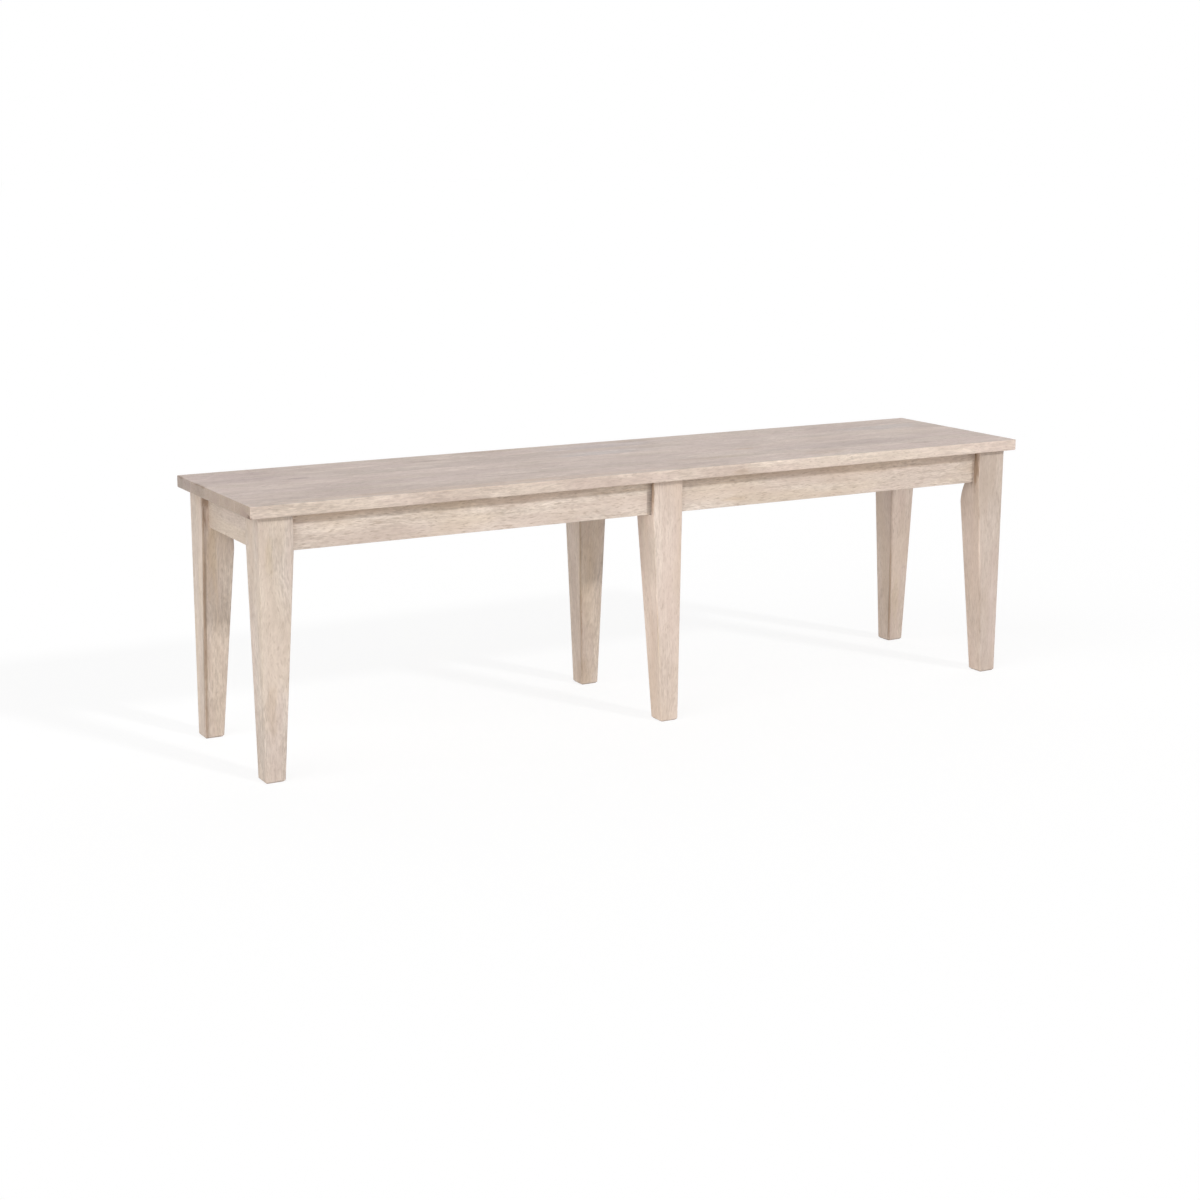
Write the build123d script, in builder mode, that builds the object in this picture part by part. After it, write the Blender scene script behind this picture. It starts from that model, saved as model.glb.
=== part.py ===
from build123d import *
import math
import os

# All lengths are in millimetres. X runs along the bench, -Y is its front, +Z is up.
# The origin is on the floor, under the middle of the seat.

# Seat
seat_length = 1524
seat_depth = 345
seat_height = 450
seat_thickness = 20
seat_board_count = 5
seat_ease = 1.2

# Legs: square at the head, tapering below the aprons to a smaller foot
leg_head = 58
leg_foot = 34
leg_end_inset = 17
leg_front_inset = 12.5
leg_ease = 2
foot_chamfer = 2.5

# Middle legs: they taper mostly on the left face, and stand a little further in
middle_leg_front_inset = 13.5
middle_leg_right_taper = 4
middle_slot_clearance = 6.5

# Aprons
apron_height = 60
apron_thickness = 20
apron_setback = 15.3
end_apron_setback = 12
apron_ease = 1

# Flat on the inner corner of a corner leg, which runs out in an arc below the aprons
flat_margin = 2.7
flat_runout = 57

# Corner blocks
block_gap = 6
block_thickness = 24
block_height = 50

# Battens under the seat and the rail between the middle legs
batten_width = 45
batten_thickness = 22
centre_rail_thickness = 20

# Hanger bolts through the corner blocks
bolt_radius = 4
bolt_core_radius = 3.2
bolt_collar = 6
bolt_point = 5
bolt_end_chamfer = 1
bolt_depth_in_leg = 43
bolt_overhang = 4
washer_radius = 11
washer_thickness = 1.8
nut_across_flats = 13
nut_height = 6.5

# Smaller hanger bolts that hold the middle legs to the long aprons
small_bolt_radius = 3
small_bolt_core_radius = 2.4
small_bolt_collar = 3
small_bolt_point = 3
small_bolt_end_chamfer = 0.8
small_bolt_depth_in_apron = 14
small_bolt_overhang = 3
small_bolt_spacing = 38
small_washer_radius = 8
small_washer_thickness = 1.6
small_nut_across_flats = 10
small_nut_height = 5

# Pan-head wood screws
screw_radius = 2
screw_head_radius = 4
screw_head_height = 2.6
screw_point = 4
screw_bite = 14
screw_counterbore_radius = 4.6
block_screw_edge = 12
block_screw_wood = 10
seat_screw_spacing = 36
seat_screw_wood = 25
batten_screw_wood = 16
batten_screw_end_inset = 13
batten_slot_travel = 5

# Wooden dowels
dowel_radius = 4
dowel_ease = 1
centre_dowel_length = 30
centre_dowel_spacing = 30
batten_dowel_length = 24
batten_dowel_spacing = 24

# Fits
bore_clearance = 0.2
bore_end_clearance = 1
overrun = 5

# Places that follow from the sizes above
half_length = seat_length / 2
half_depth = seat_depth / 2
seat_underside = seat_height - seat_thickness
apron_bottom = seat_underside - apron_height
board_width = seat_depth / seat_board_count
leg_taper = leg_head - leg_foot

leg_outer_x = half_length - leg_end_inset
leg_inner_x = leg_outer_x - leg_head
leg_outer_y = half_depth - leg_front_inset
leg_inner_y = leg_outer_y - leg_head
long_apron_outer_y = leg_outer_y - apron_setback
long_apron_inner_y = long_apron_outer_y - apron_thickness
end_apron_outer_x = leg_outer_x - end_apron_setback
end_apron_inner_x = end_apron_outer_x - apron_thickness

middle_outer_y = half_depth - middle_leg_front_inset
middle_inner_y = middle_outer_y - leg_head
middle_half_width = leg_head / 2

# The flat leaves the apron ends their full bearing on the leg
flat_inset = leg_head - max(apron_setback, end_apron_setback) - apron_thickness - flat_margin
flat_depth = flat_inset / math.sqrt(2)
bolt_height = seat_underside - block_height / 2
lug_thickness = long_apron_inner_y - middle_inner_y
bay_middle_x = (leg_inner_x + middle_half_width) / 2
batten_bottom = seat_underside - batten_thickness
batten_middle_z = seat_underside - batten_thickness / 2
apron_middle_z = seat_underside - apron_height / 2

# Corner blocks, measured as x + y from the middle of the bench
flat_sum = leg_inner_x + leg_inner_y + flat_inset
block_front_sum = flat_sum - block_gap * math.sqrt(2)
block_back_sum = block_front_sum - block_thickness * math.sqrt(2)
block_middle_sum = (block_front_sum + block_back_sum) / 2
block_screw_x = block_middle_sum - long_apron_inner_y
block_screw_y = block_middle_sum - end_apron_inner_x
block_bottom = seat_underside - block_height
block_screw_length = block_screw_wood + screw_bite
seat_screw_length = seat_screw_wood + screw_bite
batten_screw_length = batten_screw_wood + screw_bite

CORNERS = {
    "front_left": (-1, -1),
    "front_right": (1, -1),
    "back_left": (-1, 1),
    "back_right": (1, 1),
}
AHEAD = (Align.CENTER, Align.CENTER, Align.MIN)
BEHIND = (Align.CENTER, Align.CENTER, Align.MAX)


def finish(builder, label):
    """Name a finished piece and write it."""
    builder.part.label = label
    export_step(builder.part, f"parts/{label}.step")


def diagonal_plane(side_x, side_y):
    """Upright plane through a corner leg's inner corner; its x runs in towards the middle."""
    corner = (side_x * leg_inner_x, side_y * leg_inner_y, 0)
    return Plane(origin=corner, x_dir=(-side_x, -side_y, 0), z_dir=(-side_y, side_x, 0))


def leg_bolt_place(side_x, side_y):
    """Middle of a corner leg's flat, looking in along the hanger bolt."""
    plane = diagonal_plane(side_x, side_y)
    middle = plane.origin - plane.x_dir * flat_depth + Vector(0, 0, bolt_height)
    return Plane(origin=middle, x_dir=(0, 0, 1), z_dir=plane.x_dir)


def middle_bolt_places(side_y):
    """Inner face of a middle leg at its two bolts, looking in."""
    return [
        Plane(origin=(x, side_y * middle_inner_y, apron_middle_z), z_dir=(0, -side_y, 0))
        for x in (-small_bolt_spacing / 2, small_bolt_spacing / 2)
    ]


def centre_dowel_places(side_y):
    """Dowels across the joint of a middle leg and the centre rail."""
    return [
        Plane(origin=(0, side_y * middle_inner_y, z), z_dir=(0, -side_y, 0))
        for z in (apron_middle_z - centre_dowel_spacing / 2, apron_middle_z + centre_dowel_spacing / 2)
    ]


def batten_dowel_places(side_x, side_y):
    """Dowels across the joint of a batten's end and a long apron."""
    middle = side_x * bay_middle_x
    return [
        Plane(origin=(x, side_y * long_apron_inner_y, batten_middle_z), z_dir=(0, -side_y, 0))
        for x in (middle - batten_dowel_spacing / 2, middle + batten_dowel_spacing / 2)
    ]


def long_apron_screw_places(side_x, side_y):
    """Places under the heads of the screws from a corner block into a long apron."""
    y = side_y * (long_apron_inner_y - block_screw_wood)
    return [
        Plane(origin=(side_x * block_screw_x, y, z), z_dir=(0, side_y, 0))
        for z in (block_bottom + block_screw_edge, seat_underside - block_screw_edge)
    ]


def end_apron_screw_places(side_x, side_y):
    """Places under the heads of the screws from a corner block into an end apron."""
    x = side_x * (end_apron_inner_x - block_screw_wood)
    return [
        Plane(origin=(x, side_y * block_screw_y, z), z_dir=(side_x, 0, 0))
        for z in (block_bottom + block_screw_edge, seat_underside - block_screw_edge)
    ]


def seat_screw_places(side_x, side_y):
    """Places under the heads of the screws up through a corner block into the seat."""
    spread = seat_screw_spacing / 2 / math.sqrt(2)
    skew = leg_inner_x - leg_inner_y
    x = (block_middle_sum + skew) / 2
    y = (block_middle_sum - skew) / 2
    return [
        Plane(origin=(side_x * (x + step), side_y * (y - step), seat_underside - seat_screw_wood))
        for step in (-spread, spread)
    ]


def batten_screw_rows():
    """Distances of a batten's screws from the bench's middle line, one to each seat board."""
    last = long_apron_inner_y - batten_screw_end_inset
    inner_boards = seat_board_count // 2
    rows = [board_width * k for k in range(1, inner_boards)] + [last]
    return [-y for y in reversed(rows)], rows


def batten_screw_places(side_x):
    """Places under the heads of the screws up through a batten into the seat."""
    front, back = batten_screw_rows()
    return [
        Plane(origin=(side_x * bay_middle_x, y, seat_underside - batten_screw_wood))
        for y in front + [0] + back
    ]


def bore_for_screws(places, length):
    """Cut clearance bores and counterbores for screws into the open part."""
    with Locations(*places):
        Cylinder(
            screw_radius + bore_clearance,
            length + bore_end_clearance,
            align=AHEAD,
            mode=Mode.SUBTRACT,
        )
        Cylinder(screw_counterbore_radius, block_height, align=BEHIND, mode=Mode.SUBTRACT)


def bore_for_dowels(places, length):
    """Cut holes for dowels into the open part."""
    with Locations(*places):
        Cylinder(dowel_radius + bore_clearance, length + 2 * bore_end_clearance, mode=Mode.SUBTRACT)


def leg_section(height, outer_x, outer_y, side_x, side_y, outer_taper_x, inset):
    """Rounded square section of a leg's tapered shank, drawn in by an inset on every side."""
    rise_share = height / apron_bottom
    width = leg_foot + leg_taper * rise_share
    from_outer_x = outer_taper_x * (1 - rise_share) + width / 2
    with BuildSketch(Plane.XY.offset(height)) as section:
        with Locations((outer_x - side_x * from_outer_x, outer_y - side_y * width / 2)):
            RectangleRounded(width - 2 * inset, width - 2 * inset, leg_ease)
    return section.sketch


def leg_blank(outer_x, outer_y, side_x, side_y, outer_taper_x):
    """Square head and tapered shank, with eased corners and a chamfered foot."""
    corner = (outer_x, outer_y, side_x, side_y, outer_taper_x)
    head = leg_section(apron_bottom, *corner, 0)
    with BuildPart() as leg:
        add(leg_section(0, *corner, foot_chamfer))
        add(leg_section(foot_chamfer, *corner, 0))
        add(head)
        loft(ruled=True)
        add(head)
        extrude(amount=apron_height)
    return leg.part


def corner_leg(name, side_x, side_y):
    """Leg at a corner of the bench, with a flat for the hanger bolt on its inner corner."""
    plane = diagonal_plane(side_x, side_y)
    lean = leg_taper * math.sqrt(2) / apron_bottom
    runout_foot = apron_bottom - flat_runout
    blank = leg_blank(side_x * leg_outer_x, side_y * leg_outer_y, side_x, side_y, 0)
    with BuildPart() as leg:
        add(blank)
        with BuildSketch(plane):
            with BuildLine():
                start = (-lean * flat_runout, runout_foot)
                arc = TangentArc(start, (-flat_depth, apron_bottom), tangent=(lean, 1))
                Polyline(
                    arc @ 1,
                    (-flat_depth, seat_underside + overrun),
                    (overrun, seat_underside + overrun),
                    (overrun, runout_foot),
                    arc @ 0,
                )
            make_face()
        extrude(amount=leg_head, both=True, mode=Mode.SUBTRACT)
        with Locations(leg_bolt_place(side_x, side_y)):
            Hole(bolt_radius + bore_clearance, bolt_depth_in_leg + bore_end_clearance)
    finish(leg, f"{name}_leg")


def middle_leg(name, side_y):
    """Leg at mid length: its head is slotted over the long apron."""
    blank = leg_blank(
        middle_half_width, side_y * middle_outer_y, 1, side_y, middle_leg_right_taper
    )
    slot_outer_y = long_apron_outer_y + middle_slot_clearance
    slot_width = slot_outer_y - long_apron_inner_y
    slot_middle_y = (slot_outer_y + long_apron_inner_y) / 2
    with BuildPart() as leg:
        add(blank)
        with BuildSketch(Plane.XY.offset(apron_bottom)):
            with Locations((0, side_y * slot_middle_y)):
                Rectangle(leg_head + 2 * overrun, slot_width)
        extrude(amount=apron_height + overrun, mode=Mode.SUBTRACT)
        with Locations(*middle_bolt_places(side_y)):
            Hole(small_bolt_radius + bore_clearance, lug_thickness)
        bore_for_dowels(centre_dowel_places(side_y), centre_dowel_length)
    finish(leg, f"{name}_middle_leg")


def long_apron(name, side_y):
    """Front or back apron, in one length between the corner legs."""
    with BuildPart() as apron:
        with BuildSketch(Plane.YZ):
            with Locations((side_y * (long_apron_outer_y + long_apron_inner_y) / 2, apron_middle_z)):
                Rectangle(apron_thickness, apron_height)
        extrude(amount=leg_inner_x, both=True)
        fillet(apron.edges().filter_by(Axis.X).group_by(Axis.Z)[0], apron_ease)
        for side_x in (-1, 1):
            bore_for_screws(long_apron_screw_places(side_x, side_y), block_screw_length)
            bore_for_dowels(batten_dowel_places(side_x, side_y), batten_dowel_length)
        with Locations(*middle_bolt_places(side_y)):
            Hole(
                small_bolt_radius + bore_clearance,
                lug_thickness + small_bolt_depth_in_apron + bore_end_clearance,
            )
    finish(apron, f"{name}_apron")


def end_apron(name, side_x):
    """Short apron between the two corner legs of one end."""
    with BuildPart() as apron:
        with BuildSketch(Plane.XZ):
            with Locations((side_x * (end_apron_outer_x + end_apron_inner_x) / 2, apron_middle_z)):
                Rectangle(apron_thickness, apron_height)
        extrude(amount=leg_inner_y, both=True)
        fillet(apron.edges().filter_by(Axis.Y).group_by(Axis.Z)[0], apron_ease)
        for side_y in (-1, 1):
            bore_for_screws(end_apron_screw_places(side_x, side_y), block_screw_length)
    finish(apron, f"{name}_apron")


def corner_block(name, side_x, side_y):
    """Block across a corner of the frame; the hanger bolt draws the leg towards it."""
    with BuildPart() as block:
        with BuildSketch(Plane.XY.offset(block_bottom)):
            with BuildLine():
                Polyline(
                    (side_x * (block_front_sum - long_apron_inner_y), side_y * long_apron_inner_y),
                    (side_x * (block_back_sum - long_apron_inner_y), side_y * long_apron_inner_y),
                    (side_x * end_apron_inner_x, side_y * (block_back_sum - end_apron_inner_x)),
                    (side_x * end_apron_inner_x, side_y * (block_front_sum - end_apron_inner_x)),
                    close=True,
                )
            make_face()
        extrude(amount=block_height)
        bore_for_screws(long_apron_screw_places(side_x, side_y), block_screw_length)
        bore_for_screws(end_apron_screw_places(side_x, side_y), block_screw_length)
        bore_for_screws(seat_screw_places(side_x, side_y), seat_screw_length)
        with Locations(leg_bolt_place(side_x, side_y)):
            Cylinder(
                bolt_radius + bore_clearance,
                block_gap + block_thickness + overrun,
                align=AHEAD,
                mode=Mode.SUBTRACT,
            )
    finish(block, f"{name}_corner_block")


def centre_rail():
    """Rail that ties the two middle legs together."""
    with BuildPart() as rail:
        with BuildSketch(Plane.XZ):
            with Locations((0, apron_middle_z)):
                Rectangle(centre_rail_thickness, apron_height)
        extrude(amount=middle_inner_y, both=True)
        fillet(rail.edges().filter_by(Axis.Y).group_by(Axis.Z)[0], apron_ease)
        for side_y in (-1, 1):
            bore_for_dowels(centre_dowel_places(side_y), centre_dowel_length)
    finish(rail, "centre_rail")


def seat_batten(name, side_x):
    """Batten under the seat; slots let all but the middle board move with the seasons."""
    front, back = batten_screw_rows()
    slots = [(side_x * bay_middle_x, y) for y in front + back]
    bore = 2 * (screw_radius + bore_clearance)
    counterbore = 2 * screw_counterbore_radius
    with BuildPart() as batten:
        with BuildSketch(Plane.XY.offset(batten_bottom)):
            with Locations((side_x * bay_middle_x, 0)):
                Rectangle(batten_width, 2 * long_apron_inner_y)
        extrude(amount=batten_thickness)
        fillet(batten.edges().filter_by(Axis.Y).group_by(Axis.Z)[0], apron_ease)
        with BuildSketch(Plane.XY.offset(batten_bottom)):
            with Locations(*slots):
                SlotOverall(bore + batten_slot_travel, bore, rotation=90)
        extrude(amount=batten_thickness, mode=Mode.SUBTRACT)
        with BuildSketch(Plane.XY.offset(batten_bottom)):
            with Locations(*slots):
                SlotOverall(counterbore + batten_slot_travel, counterbore, rotation=90)
        extrude(amount=batten_thickness - batten_screw_wood, mode=Mode.SUBTRACT)
        bore_for_screws(
            [Plane(origin=(side_x * bay_middle_x, 0, seat_underside - batten_screw_wood))],
            batten_screw_length,
        )
        for side_y in (-1, 1):
            bore_for_dowels(batten_dowel_places(side_x, side_y), batten_dowel_length)
    finish(batten, f"{name}_seat_batten")


def seat_board(number, screw_sets):
    """One of the edge-glued boards of the seat, counted from the front."""
    front = -half_depth + (number - 1) * board_width
    back = front + board_width
    glued = [y for y in (front, back) if abs(y) < half_depth - board_width / 2]
    with BuildPart() as board:
        with BuildSketch(Plane.XY.offset(seat_underside)):
            with Locations((0, (front + back) / 2)):
                Rectangle(seat_length, board_width)
        extrude(amount=seat_thickness)
        free = board.edges().filter_by(
            lambda e: all(abs(e.center().Y - y) > seat_ease for y in glued)
        )
        fillet(free, seat_ease)
        for places, length in screw_sets:
            bore_for_screws(places, length)
    finish(board, f"seat_board_{number}")


def turned(outline):
    """Piece turned about the upright axis, from (radius, height) points."""
    with BuildPart() as piece:
        with BuildSketch(Plane.XZ):
            with BuildLine():
                Polyline(*outline, close=True)
            make_face()
        revolve(axis=Axis.Z)
    return piece.part


def screw(length):
    """Pan-head screw, from under its head, driving up."""
    return turned(
        [
            (0, length),
            (screw_radius, length - screw_point),
            (screw_radius, 0),
            (screw_head_radius, 0),
            (screw_head_radius, -screw_head_height / 2),
            (screw_head_radius - screw_head_height / 2, -screw_head_height),
            (0, -screw_head_height),
        ]
    )


def hanger_bolt(radius, core_radius, collar, point, end_chamfer, depth, reach):
    """Bolt with a wood thread below zero and a machine thread above it."""
    return turned(
        [
            (0, -depth),
            (radius, point - depth),
            (radius, -collar),
            (core_radius, -collar),
            (core_radius, 0),
            (radius, 0),
            (radius, reach - end_chamfer),
            (radius - end_chamfer, reach),
            (0, reach),
        ]
    )


def washer(radius, bore, thickness):
    """Flat washer, lying on zero."""
    with BuildPart() as ring:
        with BuildSketch():
            Circle(radius)
            Circle(bore, mode=Mode.SUBTRACT)
        extrude(amount=thickness)
    return ring.part


def hex_nut(across_flats, bore, height, corner_chamfer):
    """Hexagon nut with its corners turned off, standing on zero."""
    across_corners = across_flats / math.cos(math.pi / 6)
    with BuildPart() as nut:
        Cylinder(across_corners / 2, height, align=AHEAD)
        chamfer(nut.edges().filter_by(GeomType.CIRCLE), corner_chamfer)
        with BuildSketch():
            RegularPolygon(across_flats / 2, 6, major_radius=False)
            Circle(bore, mode=Mode.SUBTRACT)
        extrude(amount=height, mode=Mode.INTERSECT)
    return nut.part


def dowel(length):
    """Straight dowel about its middle, with eased ends."""
    with BuildPart() as pin:
        Cylinder(dowel_radius, length)
        chamfer(pin.edges().filter_by(GeomType.CIRCLE), dowel_ease)
    return pin.part


def group(label, piece, places):
    """Write one piece, repeated at every place, as a group of separate solids."""
    with BuildPart() as pieces:
        with Locations(*places):
            add(piece)
    finish(pieces, label)


def raised(places, distance):
    """The same places, moved along their own axes."""
    return [place.offset(distance) for place in places]


os.makedirs("parts", exist_ok=True)

for corner_name, (side_x, side_y) in CORNERS.items():
    corner_leg(corner_name, side_x, side_y)
    corner_block(corner_name, side_x, side_y)
for side_name, side_y in (("front", -1), ("back", 1)):
    middle_leg(side_name, side_y)
    long_apron(side_name, side_y)
for side_name, side_x in (("left", -1), ("right", 1)):
    end_apron(side_name, side_x)
    seat_batten(side_name, side_x)
centre_rail()

corners = list(CORNERS.values())
into_long_aprons = [place for corner in corners for place in long_apron_screw_places(*corner)]
into_end_aprons = [place for corner in corners for place in end_apron_screw_places(*corner)]
through_blocks = [place for corner in corners for place in seat_screw_places(*corner)]
through_battens = [place for side_x in (-1, 1) for place in batten_screw_places(side_x)]
seat_screw_sets = [(through_blocks, seat_screw_length), (through_battens, batten_screw_length)]
for number in range(1, seat_board_count + 1):
    seat_board(number, seat_screw_sets)
group("corner_block_screws", screw(block_screw_length), into_long_aprons + into_end_aprons)
group("seat_screws", screw(seat_screw_length), through_blocks)
group("batten_screws", screw(batten_screw_length), through_battens)

leg_bolt_places = [leg_bolt_place(*corner) for corner in corners]
clamped = block_gap + block_thickness
nut_top = clamped + washer_thickness + nut_height
leg_bolt = hanger_bolt(
    bolt_radius,
    bolt_core_radius,
    bolt_collar,
    bolt_point,
    bolt_end_chamfer,
    bolt_depth_in_leg,
    nut_top + bolt_overhang,
)
group("hanger_bolts", leg_bolt, leg_bolt_places)
group(
    "hanger_bolt_washers",
    washer(washer_radius, bolt_radius + bore_clearance, washer_thickness),
    raised(leg_bolt_places, clamped),
)
group(
    "hanger_bolt_nuts",
    hex_nut(nut_across_flats, bolt_radius + bore_clearance, nut_height, bolt_end_chamfer),
    raised(leg_bolt_places, clamped + washer_thickness),
)

lug_faces = [place for side_y in (-1, 1) for place in middle_bolt_places(side_y)]
small_nut_top = lug_thickness + small_washer_thickness + small_nut_height
small_bolt = hanger_bolt(
    small_bolt_radius,
    small_bolt_core_radius,
    small_bolt_collar,
    small_bolt_point,
    small_bolt_end_chamfer,
    small_bolt_depth_in_apron,
    small_nut_top + small_bolt_overhang,
)
group("middle_leg_bolts", small_bolt, raised(lug_faces, -lug_thickness))
group(
    "middle_leg_washers",
    washer(small_washer_radius, small_bolt_radius + bore_clearance, small_washer_thickness),
    lug_faces,
)
group(
    "middle_leg_nuts",
    hex_nut(
        small_nut_across_flats,
        small_bolt_radius + bore_clearance,
        small_nut_height,
        small_bolt_end_chamfer,
    ),
    raised(lug_faces, small_washer_thickness),
)

centre_joints = [place for side_y in (-1, 1) for place in centre_dowel_places(side_y)]
batten_joints = [place for corner in corners for place in batten_dowel_places(*corner)]
group("centre_rail_dowels", dowel(centre_dowel_length), centre_joints)
group("batten_dowels", dowel(batten_dowel_length), batten_joints)
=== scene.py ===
"""The looks of a six-legged dining bench in pale limed wood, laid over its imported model."""

import math

import bmesh
import bpy
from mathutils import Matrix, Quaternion, Vector

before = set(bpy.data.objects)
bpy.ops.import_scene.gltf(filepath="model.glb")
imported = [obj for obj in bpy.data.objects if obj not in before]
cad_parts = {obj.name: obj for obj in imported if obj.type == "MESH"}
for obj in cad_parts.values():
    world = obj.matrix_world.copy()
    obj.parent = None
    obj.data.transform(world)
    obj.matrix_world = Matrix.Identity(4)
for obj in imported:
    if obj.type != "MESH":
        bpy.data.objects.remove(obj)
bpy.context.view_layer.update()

# The photograph's frame is 1200 pixels square. Its lens and place were solved from the bench's edges.
frame_pixels = 1200
focal_pixels = 2050.1
axis_pixel_x = 580
axis_pixel_y = 580
sensor_width = 36
camera_place = Vector((-1.8389, -3.1113, 1.0058))
camera_yaw = -0.5135
camera_pitch = 0.2130
camera_roll = -0.0032

# Each lamp: the way to it from the bench, its level as the share of full white that it alone gives a face
# turned towards it, and how many degrees of the sky it fills.
lamps = {
    "key_lamp": dict(towards=(0.43, -1.0, 0.685), level=0.37, spread=5),
    "side_lamp": dict(towards=(-0.85, -0.35, 0.40), level=0.615, spread=70),
    "back_lamp": dict(towards=(0.45, 0.80, 0.45), level=0.255, spread=90),
}

# The strength of the sky at the horizon and overhead.
horizon_level = 0.775
zenith_level = 0.02

# The floor's colour, the share of it that is left to take the shadow, the light that falls on the open
# floor as a share of full white, and how far the floor reaches.
floor_colour = 0.80
floor_shadow_share = 0.25
floor_light = 0.835
floor_reach = 40.0

# The grain runs along X in the log, and the other two axes lie across it.
across_the_log = (0.0, 1.0, 1.0)

# The average of a noise's colour.
noise_middle = (0.5, 0.5, 0.5)

# Directions in the frame of the bench.
upright = (0.0, 0.0, 1.0)
leftward = (-1.0, 0.0, 0.0)

# The width of a ring, how far the log sways, and the width of a rounded arris, in metres.
ring_width = 0.0045
log_sway = 0.010
arris_width = 0.003
wood_ior = 1.45


def new_tree_node(tree, kind, **settings):
    """A node in a tree, with its settings."""
    node = tree.nodes.new(kind)
    for name, value in settings.items():
        setattr(node, name, value)
    return node


def feed(tree, source, socket):
    """Links an output to an input, or writes a plain value there."""
    if isinstance(source, bpy.types.NodeSocket):
        tree.links.new(source, socket)
    else:
        socket.default_value = source


def feed_all(tree, inputs, **sources):
    """Feeds inputs by name. An underscore stands for a space in a name."""
    for name, source in sources.items():
        feed(tree, source, inputs[name.replace("_", " ")])


def worked_out(tree, operation, *values, clamp=False):
    """The output of a Math node."""
    node = new_tree_node(tree, "ShaderNodeMath", operation=operation, use_clamp=clamp)
    for value, socket in zip(values, node.inputs):
        feed(tree, value, socket)
    return node.outputs["Value"]


def vector_worked_out(tree, operation, *values):
    """The output of a Vector Math node."""
    node = new_tree_node(tree, "ShaderNodeVectorMath", operation=operation)
    for value, socket in zip(values, node.inputs):
        feed(tree, value, socket)
    return node.outputs["Value" if operation in ("DOT_PRODUCT", "LENGTH") else "Vector"]


def scaled(tree, vector, factor):
    """A vector times a number."""
    output = vector_worked_out(tree, "SCALE", vector)
    feed(tree, factor, output.node.inputs["Scale"])
    return output


def stretched(tree, position, cells):
    """A position stretched so that a noise has that many cells in a metre along each axis."""
    return vector_worked_out(tree, "MULTIPLY", position, cells)


def stepped(tree, value, low, high):
    """0 at low and 1 at high, with a smooth rise between them. Low may be the larger one."""
    node = new_tree_node(tree, "ShaderNodeMapRange", interpolation_type="SMOOTHSTEP")
    feed_all(tree, node.inputs, Value=value, From_Min=low, From_Max=high)
    return node.outputs["Result"]


def blended(tree, share, first, second, blend_type="MIX"):
    """Two colours mixed by a share, or the second multiplied into the first by it."""
    node = new_tree_node(tree, "ShaderNodeMix", data_type="RGBA", blend_type=blend_type)
    feed_all(tree, node.inputs, Factor=share, A=first, B=second)
    return node.outputs["Result"]


def mixed_shaders(tree, share, first, second):
    """Two shaders mixed by a share."""
    node = new_tree_node(tree, "ShaderNodeMixShader")
    for source, socket in zip((share, first, second), node.inputs):
        feed(tree, source, socket)
    return node.outputs["Shader"]


def noise(tree, position, detail=2.0, roughness=0.5, dimensions="3D"):
    """The outputs of a noise of about one cell to a unit. With one dimension, position is its W."""
    node = new_tree_node(tree, "ShaderNodeTexNoise", noise_dimensions=dimensions)
    feed(tree, position, node.inputs["W" if dimensions == "1D" else "Vector"])
    feed_all(tree, node.inputs, Scale=1.0, Detail=detail, Roughness=roughness)
    return node.outputs


def mottled(tree, position, cells, low, high, detail=2.0, roughness=0.5, start=None):
    """A noise of so many cells in a metre, stepped from low to high. start is where it begins."""
    place = stretched(tree, position, cells)
    if start:
        place = vector_worked_out(tree, "ADD", place, start)
    return stepped(tree, noise(tree, place, detail, roughness)["Fac"], low, high)


def swayed(tree, position, cells, reach, detail=1.0):
    """A position pushed across the grain by up to half of reach, to either side."""
    push = noise(tree, stretched(tree, position, cells), detail)["Color"]
    centred = vector_worked_out(tree, "SUBTRACT", push, noise_middle)
    across = vector_worked_out(tree, "MULTIPLY", centred, across_the_log)
    return vector_worked_out(tree, "ADD", position, scaled(tree, across, reach))


def bumped(tree, height):
    """The normal of a surface of that height in metres."""
    relief = new_tree_node(tree, "ShaderNodeBump")
    feed_all(tree, relief.inputs, Distance=1.0, Height=height)
    return relief.outputs["Normal"]


def sockets(kind, *names):
    """The names of some sockets, with their kind."""
    return {name: f"NodeSocket{kind}" for name in names}


def new_group(name, inputs, outputs):
    """A shader node group with named sockets, as (tree, its inputs by name, its outputs by name)."""
    tree = bpy.data.node_groups.new(name, "ShaderNodeTree")
    for label, kind in inputs.items():
        tree.interface.new_socket(label, in_out="INPUT", socket_type=kind)
    for label, kind in outputs.items():
        tree.interface.new_socket(label, in_out="OUTPUT", socket_type=kind)
    entry = new_tree_node(tree, "NodeGroupInput")
    leave = new_tree_node(tree, "NodeGroupOutput")
    return tree, entry.outputs, leave.inputs


def placed_group(tree, group, **sources):
    """The outputs of a group placed in a material, with what feeds its inputs by name."""
    node = new_tree_node(tree, "ShaderNodeGroup", node_tree=group)
    feed_all(tree, node.inputs, **sources)
    return node.outputs


grain_effects = ("Rings", "Fibres", "Flecks", "Pores", "Bands", "Cloud", "Honey", "Shade")


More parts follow.
